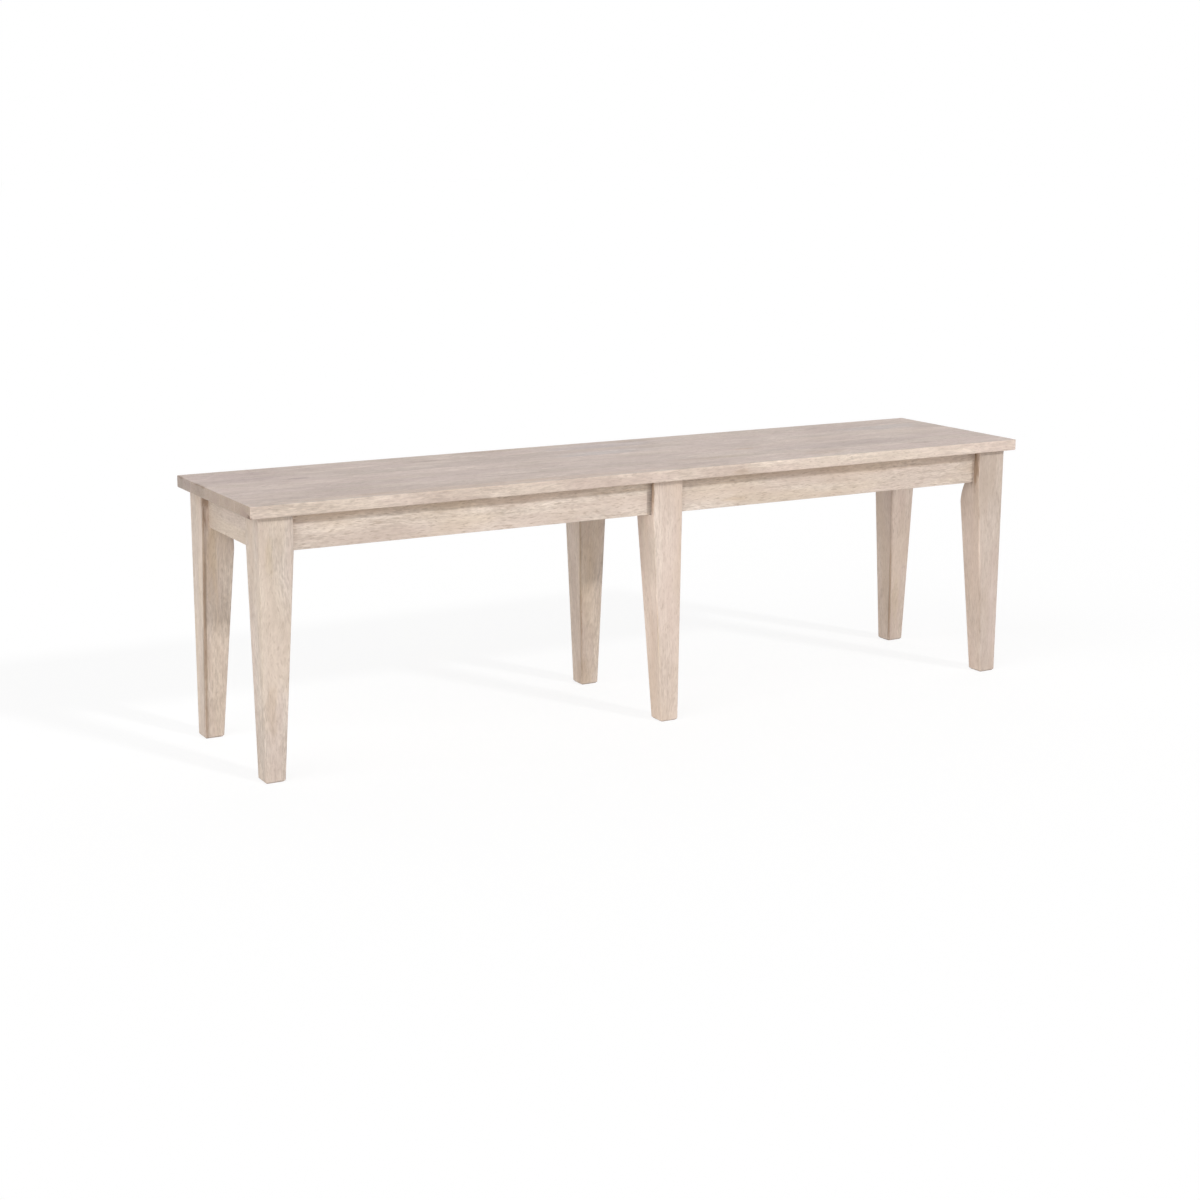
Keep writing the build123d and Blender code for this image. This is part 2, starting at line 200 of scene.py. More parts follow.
def open_grain_group():
    """Open-grained hardwood from a log that lies along X: rings, fibres, pores and slow drifts of tone."""
    tree, given, result = new_group(
        "open_grain",
        sockets("Vector", "Position") | sockets("Float", "Ring Width", "Wander", "Figure", "Fleck Length"),
        sockets("Float", *grain_effects),
    )
    # How far locked grain strays in metres, and how many flecks lie in a metre across the log.
    interlock = 0.005
    flecks_across = 380.0
    # The noise from which pores show, how much less it is in the dark of a ring, and how much more of it
    # makes a full pore.
    pore_limit = 0.57
    pore_limit_in_rings = -0.04
    pore_rise = 0.20

    bent = swayed(tree, given["Position"], cells=(1.9, 8.0, 8.0), reach=given["Wander"], detail=1.5)
    figured = swayed(tree, bent, cells=(7.0, 16.0, 16.0), reach=given["Figure"])
    locked = swayed(tree, figured, cells=(24.0, 45.0, 45.0), reach=interlock)

    from_pith = vector_worked_out(tree, "LENGTH", vector_worked_out(tree, "MULTIPLY", bent, across_the_log))
    ring_count = worked_out(tree, "DIVIDE", from_pith, given["Ring Width"])
    ring_noise = noise(tree, ring_count, detail=2.5, roughness=0.6, dimensions="1D")["Fac"]
    rings = stepped(tree, ring_noise, low=0.32, high=0.68)

    fleck_cells = new_tree_node(tree, "ShaderNodeCombineXYZ")
    flecks_along = worked_out(tree, "DIVIDE", 1.0, given["Fleck Length"])
    feed_all(tree, fleck_cells.inputs, X=flecks_along, Y=flecks_across, Z=flecks_across)
    pore_start = worked_out(tree, "MULTIPLY_ADD", rings, pore_limit_in_rings, pore_limit)
    pore_full = worked_out(tree, "ADD", pore_start, pore_rise)

    feed_all(
        tree,
        result,
        Rings=rings,
        Fibres=mottled(
            tree, figured, cells=(12.0, 400.0, 400.0), low=0.32, high=0.68, detail=3.0, roughness=0.6
        ),
        Flecks=mottled(
            tree, locked, cells=fleck_cells.outputs["Vector"], low=0.34, high=0.66, detail=2.5, roughness=0.6
        ),
        Pores=mottled(
            tree, locked, cells=(80.0, 600.0, 600.0), low=pore_start, high=pore_full, detail=1.0
        ),
        Bands=mottled(tree, bent, cells=(4.2, 38.0, 38.0), low=0.36, high=0.64),
        Cloud=mottled(tree, locked, cells=(16.0, 75.0, 75.0), low=0.35, high=0.65),
        Honey=mottled(
            tree, bent, cells=(5.0, 26.0, 26.0), low=0.46, high=0.68, detail=1.5, start=(31.0, 17.0, 5.0)
        ),
        Shade=mottled(
            tree, bent, cells=(5.0, 12.0, 12.0), low=0.34, high=0.66, detail=1.0, start=(7.0, 43.0, 19.0)
        ),
    )
    return tree


def rounded_arris_group():
    """Where the surface turns over an arris, and where hands and feet have rubbed it."""
    tree, given, result = new_group(
        "rounded_arris",
        sockets("Vector", "Position") | sockets("Float", "Width"),
        sockets("Float", "Arris", "Rubbed"),
    )
    turned = new_tree_node(tree, "ShaderNodeBevel", samples=6)
    feed(tree, given["Width"], turned.inputs["Radius"])
    flat = new_tree_node(tree, "ShaderNodeNewGeometry")
    agreement = vector_worked_out(tree, "DOT_PRODUCT", turned.outputs["Normal"], flat.outputs["True Normal"])
    arris = stepped(tree, worked_out(tree, "SUBTRACT", 1.0, agreement), low=0.01, high=0.22)
    rubs = mottled(
        tree, given["Position"], cells=(38.0, 60.0, 60.0), low=0.42, high=0.66, detail=3.0, roughness=0.6
    )
    feed_all(tree, result, Arris=arris, Rubbed=worked_out(tree, "MULTIPLY", arris, rubs))
    return tree


def limed_finish_group():
    """Lime wax over open-grained wood: its colour, its roughness and the height of its surface in metres."""
    tree, given, result = new_group(
        "limed_finish",
        sockets("Float", *grain_effects, "Arris", "Rubbed", "End Grain", "Upper Side", "Sideways")
        | sockets("Color", "Pale", "Deep", "Blush", "Honeyed", "Pore", "End", "Side Tint")
        | sockets("Float", "Pore Strength"),
        sockets("Color", "Color") | sockets("Float", "Roughness", "Height"),
    )
    # How far each effect takes the wood from pale to deep.
    ring_depth = 0.12
    fibre_depth = 0.20
    fleck_depth = 0.48
    cloud_depth = 0.26
    # What the wood's darker drifts of tone do to the colour, and the painted shade on faces turned up.
    shade_tint = (0.89, 0.88, 0.87, 1)
    painted_top_shade_tint = (0.782, 0.762, 0.785, 1)
    # The roughness of the wax, and what pores, fibres and rubbing add to it.
    wax_roughness = 0.50
    pore_roughness = 0.25
    fibre_roughness = 0.08
    rub_polish = -0.12
    # How far the surface rises in the grain, in metres.
    fibre_rise = -0.00004
    ring_rise = -0.00005
    pore_rise = -0.00012

    def laid_over(body, effect, share, colour):
        """The wood with one of the colours laid over it, where the effect is, by up to that share."""
        return blended(tree, worked_out(tree, "MULTIPLY", given[effect], share), body, given[colour])

    depth = worked_out(tree, "MULTIPLY", given["Rings"], ring_depth)
    depth = worked_out(tree, "MULTIPLY_ADD", given["Fibres"], fibre_depth, depth)
    depth = worked_out(tree, "MULTIPLY_ADD", given["Flecks"], fleck_depth, depth)
    depth = worked_out(tree, "MULTIPLY_ADD", given["Cloud"], cloud_depth, depth, clamp=True)
    body = blended(tree, depth, given["Pale"], given["Deep"])
    body = laid_over(body, "Bands", share=0.55, colour="Blush")
    body = laid_over(body, "Honey", share=0.45, colour="Honeyed")
    body = blended(tree, given["Shade"], body, shade_tint, "MULTIPLY")
    body = laid_over(body, "End Grain", share=0.70, colour="End")
    body = laid_over(body, "Pores", share=given["Pore Strength"], colour="Pore")
    # Lighter along every arris: a painted highlight where the rounded edge catches the light, with some wear.
    body = laid_over(body, "Arris", share=0.20, colour="Pale")
    body = laid_over(body, "Rubbed", share=0.35, colour="Blush")
    # Faces turned up take painted shade, a little cooler, for the weaker light from above and the sheen on
    # the wax.
    body = blended(tree, given["Upper Side"], body, painted_top_shade_tint, "MULTIPLY")
    # Faces turned to the left take painted light, lighter on some legs and darker on others.
    body = blended(tree, given["Sideways"], body, given["Side Tint"], "MULTIPLY")

    dull = worked_out(tree, "MULTIPLY_ADD", given["Pores"], pore_roughness, wax_roughness)
    dull = worked_out(tree, "MULTIPLY_ADD", given["Fibres"], fibre_roughness, dull)
    dull = worked_out(tree, "MULTIPLY_ADD", given["Rubbed"], rub_polish, dull, clamp=True)

    height = worked_out(tree, "MULTIPLY", given["Fibres"], fibre_rise)
    height = worked_out(tree, "MULTIPLY_ADD", given["Rings"], ring_rise, height)
    height = worked_out(tree, "MULTIPLY_ADD", given["Pores"], pore_rise, height)

    feed_all(tree, result, Color=body, Roughness=dull, Height=height)
    return tree


def ragged_patch_group():
    """A patch of the wood, 1 at its centre and 0 past its reach, with a ragged rim."""
    tree, given, result = new_group(
        "ragged_patch",
        sockets("Vector", "Position", "Centre", "Reach", "Lean"),
        sockets("Float", "Patch"),
    )
    # The cells of the rim's noise in one reach of the patch. The noise moves the rim in and out by up to half
    # of its raggedness.
    rag_cells = (2.2, 2.2, 2.2)
    raggedness = 1.7

    away = vector_worked_out(tree, "SUBTRACT", given["Position"], given["Centre"])
    height = worked_out(tree, "MULTIPLY", vector_worked_out(tree, "DOT_PRODUCT", away, upright), -1.0)
    straight = vector_worked_out(tree, "ADD", away, scaled(tree, given["Lean"], height))
    share_out = vector_worked_out(tree, "DIVIDE", straight, given["Reach"])
    ragged = noise(tree, stretched(tree, share_out, rag_cells), detail=2.5, roughness=0.6)["Fac"]
    far = worked_out(tree, "SUBTRACT", vector_worked_out(tree, "LENGTH", share_out), raggedness / 2)
    rim = worked_out(tree, "MULTIPLY_ADD", ragged, raggedness, far)
    feed(tree, stepped(tree, rim, low=1.15, high=0.30), result["Patch"])
    return tree


def plated_metal_group():
    """Zinc or phosphate on steel: a mottle of crystals, drawn lines and a dull bloom."""
    tree, given, result = new_group(
        "plated_metal",
        sockets("Vector", "Position") | sockets("Color", "Bright", "Dull"),
        sockets("Color", "Color") | sockets("Float", "Roughness", "Height"),
    )
    # The roughness of bright plating, what a dull place adds to it, and the height of a drawn line in metres.
    bright_roughness = 0.30
    dull_roughness = 0.22
    drawn_line_rise = 0.00002

    mottle = mottled(
        tree, given["Position"], cells=(260.0, 260.0, 260.0), low=0.3, high=0.7, detail=3.0, roughness=0.6
    )
    lines = noise(tree, stretched(tree, given["Position"], cells=(900.0, 900.0, 2600.0)))["Fac"]
    feed_all(
        tree,
        result,
        Color=blended(tree, mottle, given["Bright"], given["Dull"]),
        Roughness=worked_out(tree, "MULTIPLY_ADD", mottle, dull_roughness, bright_roughness),
        Height=worked_out(tree, "MULTIPLY", lines, drawn_line_rise),
    )
    return tree


grain_group = open_grain_group()
patch_group = ragged_patch_group()
arris_group = rounded_arris_group()
finish_group = limed_finish_group()
metal_group = plated_metal_group()

# Turns that lay a piece's own length along the X of the grain.
along_x = (0.0, 0.0, 0.0)
along_y = (0.0, 0.0, -math.pi / 2)
along_z = (0.0, math.pi / 2, 0.0)
grain_directions = {
    along_x: (1.0, 0.0, 0.0),
    along_y: (0.0, 1.0, 0.0),
    along_z: (0.0, 0.0, 1.0),
}

# Painted light on faces turned to the left: a slight warmth, made lighter or darker by each leg's own level.
painted_left_light_warmth = (1.01, 1.0, 0.985)

# How far an arris of a tapered leg shifts in a metre of height, by the faces that taper.
no_lean = (0.0, 0.0, 0.0)
back_face_taper = (0.0, -0.065, 0.0)
left_face_taper = (-0.065, 0.0, 0.0)
left_and_back_taper = (-0.065, -0.065, 0.0)
middle_left_taper = (-0.0515, 0.0, 0.0)
middle_left_and_back_taper = (-0.0515, -0.065, 0.0)

# What a mark does to the colour under it, at its middle. Most are marks of the wood; some are painted light
# and shade.
mark_tints = {
    "knot": (0.76, 0.71, 0.73),
    # Dark streaks of the grain, and painted shade where it darkens a leg's head under the seat.
    "dark_streak": (0.84, 0.81, 0.79),
    "brown_streak": (0.91, 0.88, 0.83),
    "mauve_streak": (0.90, 0.87, 0.90),
    # Painted sheen, grey and cool, for the sky mirrored in the wax, with some of the wax's own bloom.
    "grey_bloom": (0.93, 0.97, 1.03),
    "tan_margin": (1.06, 1.04, 0.98),
    "warm_shade": (0.985, 0.94, 0.885),
    "dull_patch": (0.955, 0.95, 0.945),
    "tan_shade": (0.985, 0.965, 0.93),
    "tan_arris": (0.95, 0.93, 0.85),
    "pale_patch": (1.07, 1.08, 1.08),
    # Painted light: it brightens a shaded face or lays a highlight along an arris.
    "painted_light_patch": (1.14, 1.14, 1.13),
    "pale_foot": (1.08, 1.095, 1.12),
    "grey_shade": (0.92, 0.93, 0.92),
    "olive_patch": (0.975, 0.965, 0.90),
    "honey_patch": (1.00, 0.965, 0.87),
    "amber_spot": (0.97, 0.89, 0.75),
    "corner_dark": (0.45, 0.38, 0.32),
    "corner_shade": (0.62, 0.55, 0.48),
    "arris_shade": (0.72, 0.66, 0.60),
}


def toned(colour, tone):
    """A colour made lighter or darker, with full alpha."""
    return tuple(channel * tone for channel in colour) + (1.0,)


def new_material(name):
    """An empty node material with its Principled BSDF, as (material, tree, shader)."""
    material = bpy.data.materials.new(name)
    material.use_nodes = True
    tree = material.node_tree
    shader = tree.nodes["Principled BSDF"]
    return material, tree, shader


def mark(kind, centre, reach, lean=no_lean):
    """A mark on the wood, of its own colour or of painted light and shade: its kind, its centre, how far it
    reaches along X, Y and Z, and its lean.
    """
    return dict(kind=kind, centre=centre, reach=reach, lean=lean)


def marks_on(axis, place, depth):
    """What makes marks on a face square to an axis, from their centre and reach along the other two axes."""

    def mark_there(kind, centre, reach):
        """A mark on that face, as deep in the wood as the others there."""
        return mark(kind, (*centre[:axis], place, *centre[axis:]), (*reach[:axis], depth, *reach[axis:]))

    return mark_there


x_axis = 0
y_axis = 1
z_axis = 2
on_seat_top = marks_on(z_axis, place=0.45, depth=0.03)
on_seat_edge = marks_on(y_axis, place=-0.173, depth=0.006)
on_seat_end = marks_on(x_axis, place=-0.762, depth=0.004)
on_end_arris = marks_on(x_axis, place=-0.762, depth=0.006)
on_front_apron = marks_on(y_axis, place=-0.145, depth=0.010)


def marked(tree, colour, position, kind, centre, reach, lean):
    """A colour with one mark laid over it."""
    patch = placed_group(tree, patch_group, Position=position, Centre=centre, Reach=reach, Lean=lean)
    return blended(tree, patch["Patch"], colour, toned(mark_tints[kind], 1.0), "MULTIPLY")


def turned_towards(tree, normal, direction):
    """The cosine of the angle between a face's normal and a direction."""
    return vector_worked_out(tree, "DOT_PRODUCT", normal, direction)


def wood(name, grain, cut, tone, colours, painted_left_light=1.0, shorten=1.0, figure=0.015, fleck_length=0.014,
         pores=0.3, marks=()):
    """Limed wood for one piece.

    grain is the turn of its grain and cut is where in the log it was sawn. painted_left_light lightens or
    darkens its left face with painted light, shorten packs its grain closer lengthwise, figure is how far the
    grain swings, and pores is how plainly its pores show.
    """
    material, tree, shader = new_material(name)
    place = new_tree_node(tree, "ShaderNodeTexCoord").outputs["Object"]
    mapping = new_tree_node(tree, "ShaderNodeMapping", vector_type="POINT")
    along_grain = grain_directions[grain]
    closer = [1 + (shorten - 1) * share for share in along_grain]
    feed_all(tree, mapping.inputs, Vector=place, Rotation=grain, Location=cut, Scale=closer)
    position = mapping.outputs["Vector"]
    figured = placed_group(
        tree,
        grain_group,
        Position=position,
        Ring_Width=ring_width,
        Wander=log_sway,
        Figure=figure,
        Fleck_Length=fleck_length,
    )
    edge = placed_group(tree, arris_group, Position=position, Width=arris_width)
    normal = new_tree_node(tree, "ShaderNodeNewGeometry").outputs["Normal"]
    endwise = worked_out(tree, "ABSOLUTE", turned_towards(tree, normal, along_grain))
    finish = placed_group(
        tree,
        finish_group,
        Arris=edge["Arris"],
        Rubbed=edge["Rubbed"],
        End_Grain=stepped(tree, endwise, low=0.45, high=0.85),
        Upper_Side=stepped(tree, turned_towards(tree, normal, upright), low=0.55, high=0.95),
        Sideways=stepped(tree, turned_towards(tree, normal, leftward), low=0.25, high=0.75),
        Side_Tint=toned(painted_left_light_warmth, painted_left_light),
        Pore_Strength=pores,
        **{effect.name: effect for effect in figured},
        **{kind: toned(colour, tone) for kind, colour in colours.items()},
    )
    colour = finish["Color"]
    for spot in marks:
        colour = marked(tree, colour, place, **spot)
    feed_all(
        tree,
        shader.inputs,
        Base_Color=colour,
        Roughness=finish["Roughness"],
        Normal=bumped(tree, finish["Height"]),
        IOR=wood_ior,
    )
    return material


def plated_steel(name, bright, dull):
    """Plated steel for bolts, nuts, washers and screws."""
    material, tree, shader = new_material(name)
    place = new_tree_node(tree, "ShaderNodeTexCoord").outputs["Object"]
    plating = placed_group(
        tree, metal_group, Position=place, Bright=toned(bright, 1.0), Dull=toned(dull, 1.0)
    )
    feed_all(
        tree,
        shader.inputs,
        Base_Color=plating["Color"],
        Roughness=plating["Roughness"],
        Normal=bumped(tree, plating["Height"]),
        Metallic=1.0,
    )
    return material


def dress(node, material):
    """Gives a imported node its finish."""
    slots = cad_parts[node].data.materials
    slots.clear()
    slots.append(material)


# The colours of the limed wood on different pieces, and of the bare wood inside the frame.
pore_brown = (0.36, 0.26, 0.19)
seat_pore_brown = (0.36, 0.26, 0.20)
end_brown = (0.37, 0.29, 0.24)
limed = {
    "Pale": (0.86, 0.752, 0.66),
    "Deep": (0.54, 0.445, 0.375),
    "Blush": (0.655, 0.53, 0.46),
    "Honeyed": (0.69, 0.56, 0.435),
    "Pore": pore_brown,
    "End": end_brown,
}
limed_even = {
    "Pale": (0.81, 0.69, 0.60),
    "Deep": (0.60, 0.485, 0.41),
    "Blush": (0.66, 0.52, 0.45),
    "Honeyed": (0.67, 0.535, 0.425),
    "Pore": pore_brown,
    "End": end_brown,
}
limed_lively = {
    "Pale": (0.88, 0.775, 0.685),
    "Deep": (0.48, 0.395, 0.335),
    "Blush": (0.67, 0.545, 0.475),
    "Honeyed": (0.70, 0.575, 0.455),
    "Pore": pore_brown,
    "End": end_brown,
}
limed_seat = {
    "Pale": (0.88, 0.755, 0.65),
    "Deep": (0.58, 0.475, 0.40),
    "Blush": (0.64, 0.505, 0.445),
    "Honeyed": (0.66, 0.55, 0.44),
    "Pore": seat_pore_brown,
}
limed_seat_lively = {
    "Pale": (0.917, 0.785, 0.671),
    "Deep": (0.535, 0.435, 0.362),
    "Blush": (0.625, 0.49, 0.43),
    "Honeyed": (0.68, 0.565, 0.47),
    "Pore": seat_pore_brown,
}
bare = {
    "Pale": (0.70, 0.54, 0.37),
    "Deep": (0.55, 0.40, 0.26),
    "Blush": (0.60, 0.43, 0.29),
    "Honeyed": (0.62, 0.46, 0.28),
    "Pore": (0.33, 0.22, 0.14),
    "End": (0.40, 0.29, 0.19),
}

# How much closer the seat's grain is packed lengthwise, and how long the flecks of the seat and the aprons
# are in metres.
seat_shorten = 1.35
seat_fleck_length = 0.022
apron_fleck_length = 0.012

# Each board of the seat: its colours with that of its end, where it was sawn, its tone and its marks. Marks
# are in metres in the frame of the bench: X to the right, Y to the back and Z up from the floor.
seat_boards = {
    "seat_board_1": dict(
        colours=limed_seat_lively | {"End": (0.276, 0.200, 0.150)},
        cut=(0.13, 0.080, -0.490),
        tone=1.00,
        marks=[
            on_seat_top("dark_streak", (0.579, -0.116), (0.040, 0.008)),
            on_seat_top("brown_streak", (0.356, -0.130), (0.060, 0.022)),
            on_seat_top("brown_streak", (-0.254, -0.150), (0.050, 0.010)),
            on_seat_top("brown_streak", (-0.543, -0.152), (0.045, 0.009)),
            mark("brown_streak", (0.142, -0.172, 0.436), (0.020, 0.006, 0.006)),
            on_end_arris("corner_dark", (-0.166, 0.432), (0.009, 0.005)),
            on_end_arris("mauve_streak", (-0.150, 0.432), (0.030, 0.008)),
            mark("tan_margin", (-0.330, -0.156, 0.45), (0.480, 0.016, 0.008)),
            on_seat_edge("pale_patch", (0.400, 0.438), (0.460, 0.026)),
            on_seat_edge("pale_patch", (0.650, 0.438), (0.180, 0.020)),
        ],
    ),
    "seat_board_2": dict(
        colours=limed_seat | {"End": (0.276, 0.200, 0.150)},
        cut=(2.41, 0.035, -0.520),
        tone=0.97,
        marks=[
            on_seat_top("dark_streak", (-0.245, -0.086), (0.090, 0.006)),
            on_seat_top("brown_streak", (0.132, -0.092), (0.110, 0.016)),
            on_seat_top("mauve_streak", (0.437, -0.062), (0.190, 0.030)),
            on_seat_end("pale_patch", (-0.098, 0.442), (0.018, 0.012)),
            on_seat_end("pale_patch", (-0.042, 0.440), (0.012, 0.014)),
        ],
    ),
    "seat_board_3": dict(
        colours=limed_seat | {"End": (0.245, 0.178, 0.138)},
        cut=(4.77, -0.020, -0.475),
        tone=1.01,
        marks=[
            on_seat_top("pale_patch", (-0.050, -0.020), (0.120, 0.014)),
            on_seat_top("amber_spot", (0.244, -0.030), (0.030, 0.007)),
        ],
    ),
    "seat_board_4": dict(
        colours=limed_seat | {"End": (0.262, 0.193, 0.152)},
        cut=(7.02, 0.015, -0.390),
        tone=0.96,
        marks=[
            on_seat_top("knot", (-0.594, 0.046), (0.030, 0.010)),
            # The grey patches on the top are painted sheen with some of the wax's own bloom.
            on_seat_top("grey_bloom", (-0.010, 0.050), (0.110, 0.030)),
            on_seat_top("grey_bloom", (0.650, 0.092), (0.130, 0.040)),
            on_seat_top("mauve_streak", (-0.680, 0.085), (0.110, 0.030)),
            on_end_arris("arris_shade", (0.050, 0.450), (0.040, 0.004)),
            on_seat_end("grey_shade", (0.060, 0.438), (0.034, 0.014)),
        ],
    ),
    "seat_board_5": dict(
        colours=limed_seat_lively | {"End": (0.222, 0.177, 0.157)},
        cut=(9.35, -0.060, -0.505),
        tone=0.99,
        marks=[
            on_seat_top("dark_streak", (-0.305, 0.112), (0.070, 0.010)),
            # The grey patch on the top is painted sheen with some of the wax's own bloom.
            on_seat_top("grey_bloom", (0.040, 0.125), (0.160, 0.034)),
            on_seat_top("brown_streak", (-0.173, 0.160), (0.110, 0.012)),
            on_seat_top("brown_streak", (0.112, 0.150), (0.080, 0.012)),
            on_seat_top("mauve_streak", (-0.690, 0.120), (0.100, 0.028)),
            on_end_arris("arris_shade", (0.154, 0.450), (0.014, 0.005)),
            on_seat_end("grey_shade", (0.152, 0.440), (0.014, 0.014)),
        ],
    ),
}
for board, finish in seat_boards.items():
    board_wood = wood(
        f"limed_{board}", along_x, shorten=seat_shorten, fleck_length=seat_fleck_length, **finish
    )
    dress(board, board_wood)

# Each leg: its colours, where it was sawn, its tone, the painted light on its left face, how far its grain
# swings and its marks.
legs = {
    "front_left_leg": dict(
        colours=limed_lively,
        cut=(0.40, 0.10, 0.71),
        tone=1.01,
        painted_left_light=0.93,
        figure=0.050,
        marks=[
            mark("olive_patch", (-0.728, -0.160, 0.365), (0.008, 0.030, 0.040)),
            mark("brown_streak", (-0.733, -0.160, 0.115), (0.014, 0.030, 0.050)),
        ],
    ),
    "front_middle_leg": dict(
        colours=limed_even,
        cut=(1.30, 0.12, 0.05),
        tone=1.075,
        painted_left_light=1.05,
        figure=0.020,
        marks=[
            # Painted shade in the slot beside the apron, on the lip's left side and on the left face below.
            mark("corner_dark", (-0.022, -0.1480, 0.418), (0.015, 0.006, 0.038)),
            mark("corner_dark", (-0.022, -0.1480, 0.392), (0.015, 0.006, 0.030)),
            mark("corner_shade", (-0.030, -0.1550, 0.410), (0.003, 0.012, 0.048)),
            mark("grey_shade", (-0.0250, -0.130, 0.305), (0.007, 0.040, 0.095)),
            mark("tan_arris", (-0.0182, -0.160, 0.160), (0.003, 0.004, 0.075), middle_left_taper),
        ],
    ),
    "front_right_leg": dict(
        colours=limed_even,
        cut=(2.90, 0.09, -0.72),
        tone=0.865,
        painted_left_light=1.16,
        figure=0.015,
        marks=[
            mark("corner_shade", (0.687, -0.1455, 0.430), (0.006, 0.006, 0.012)),
            mark("corner_shade", (0.687, -0.1470, 0.400), (0.004, 0.012, 0.050)),
            mark("dark_streak", (0.6910, -0.160, 0.312), (0.003, 0.004, 0.016), left_face_taper),
            # A painted highlight along the left arris.
            mark("painted_light_patch", (0.6950, -0.160, 0.250), (0.004, 0.005, 0.075), left_face_taper),
            mark("dark_streak", (0.7005, -0.160, 0.160), (0.003, 0.004, 0.040), left_face_taper),
            mark("dark_streak", (0.7050, -0.160, 0.095), (0.003, 0.004, 0.050), left_face_taper),
            mark("pale_foot", (0.730, -0.160, 0.055), (0.040, 0.030, 0.150)),
        ],
    ),
    "back_left_leg": dict(
        colours=limed,
        cut=(3.70, -0.22, 0.75),
        tone=0.985,
        painted_left_light=0.92,
        figure=0.015,
        marks=[
            # Painted light on the upper front, which lies in the shadow of the seat and apron.
            mark("painted_light_patch", (-0.714, 0.106, 0.290), (0.060, 0.030, 0.170)),
            mark("honey_patch", (-0.728, 0.106, 0.320), (0.012, 0.020, 0.120)),
            mark("tan_shade", (-0.722, 0.116, 0.080), (0.030, 0.020, 0.190)),
            # Painted shade on the head, under the seat beside the end apron.
            mark("arris_shade", (-0.739, 0.102, 0.414), (0.014, 0.010, 0.012)),
            mark("dark_streak", (-0.741, 0.102, 0.392), (0.007, 0.010, 0.036)),
            mark("corner_shade", (-0.7430, 0.1134, 0.195), (0.0058, 0.005, 0.300), back_face_taper),
        ],
    ),
    "back_middle_leg": dict(
        colours=limed,
        cut=(5.20, -0.20, 0.06),
        tone=0.965,
        painted_left_light=1.07,
        figure=0.015,
        marks=[
            # A tan tint and painted light on the shadowed upper front.
            mark("tan_shade", (-0.006, 0.106, 0.290), (0.012, 0.030, 0.110)),
            mark("pale_patch", (0.012, 0.106, 0.290), (0.024, 0.030, 0.120)),
            mark("brown_streak", (-0.004, 0.124, 0.010), (0.030, 0.030, 0.050)),
            mark("tan_shade", (0.004, 0.116, 0.140), (0.034, 0.020, 0.200)),
            mark("arris_shade", (-0.0192, 0.1137, 0.190), (0.0036, 0.004, 0.240), middle_left_and_back_taper),
        ],
    ),
    "back_right_leg": dict(
        colours=limed_even,
        cut=(6.10, -0.24, -0.70),
        tone=0.975,
        painted_left_light=0.99,
        figure=0.015,
        marks=[
            mark("olive_patch", (0.720, 0.120, 0.080), (0.014, 0.020, 0.070)),
            mark("dark_streak", (0.6955, 0.1095, 0.260), (0.0040, 0.004, 0.120), left_and_back_taper),
            mark("corner_shade", (0.7067, 0.1210, 0.075), (0.0045, 0.004, 0.140), left_and_back_taper),
        ],
    ),
}
for leg, finish in legs.items():
    dress(leg, wood(f"limed_{leg}", along_z, **finish))

# Each apron: its grain, where it was sawn, its tone, how plainly its pores show, and its marks.
aprons = {
    "front_apron": dict(
        grain=along_x,
        cut=(0.55, 0.19, -0.44),
        tone=1.045,
        pores=0.5,
        marks=[
            on_front_apron("pale_patch", (-0.070, 0.400), (0.110, 0.060)),
            on_front_apron("brown_streak", (0.146, 0.383), (0.034, 0.004)),
            on_front_apron("warm_shade", (-0.380, 0.420), (0.500, 0.010)),
            on_front_apron("warm_shade", (0.350, 0.421), (0.480, 0.014)),
            on_front_apron("pale_patch", (-0.330, 0.404), (0.480, 0.018)),
            on_front_apron("pale_patch", (0.250, 0.398), (0.220, 0.034)),
            on_front_apron("dull_patch", (0.560, 0.385), (0.200, 0.026)),
        ],
    ),
    "back_apron": dict(grain=along_x, cut=(3.15, -0.09, -0.46), tone=1.00, pores=0.4),
    "left_apron": dict(grain=along_y, cut=(0.60, 0.72, -0.43), tone=0.84, pores=0.2),
    "right_apron": dict(grain=along_y, cut=(1.90, -0.68, -0.45), tone=0.93, pores=0.3),
}
for apron, finish in aprons.items():
    dress(apron, wood(f"limed_{apron}", colours=limed, fleck_length=apron_fleck_length, **finish))

# Each piece inside the frame: its grain and where it was sawn.
inner_pieces = {
    "centre_rail": dict(grain=along_y, cut=(0.90, 0.05, -0.47)),
    "left_seat_batten": dict(grain=along_y, cut=(2.70, 0.40, -0.49)),
    "right_seat_batten": dict(grain=along_y, cut=(4.10, -0.31, -0.47)),
    "front_left_corner_block": dict(grain=along_z, cut=(0.20, 0.18, 0.60)),
    "front_right_corner_block": dict(grain=along_z, cut=(1.20, 0.18, -0.63)),
    "back_left_corner_block": dict(grain=along_z, cut=(2.20, -0.06, 0.61)),
    "back_right_corner_block": dict(grain=along_z, cut=(3.20, -0.07, -0.60)),
    "centre_rail_dowels": dict(grain=along_y, cut=(1.40, 0.03, -0.44)),
    "batten_dowels": dict(grain=along_y, cut=(3.40, 0.38, -0.46)),
}
for piece, finish in inner_pieces.items():
    dress(piece, wood(f"bare_{piece}", tone=1.0, colours=bare, **finish))

zinc = plated_steel("zinc_plate", bright=(0.66, 0.66, 0.64), dull=(0.50, 0.51, 0.50))
for fitting in (
    "hanger_bolts",
    "hanger_bolt_washers",
    "hanger_bolt_nuts",
    "middle_leg_bolts",
    "middle_leg_washers",
    "middle_leg_nuts",
):
    dress(fitting, zinc)

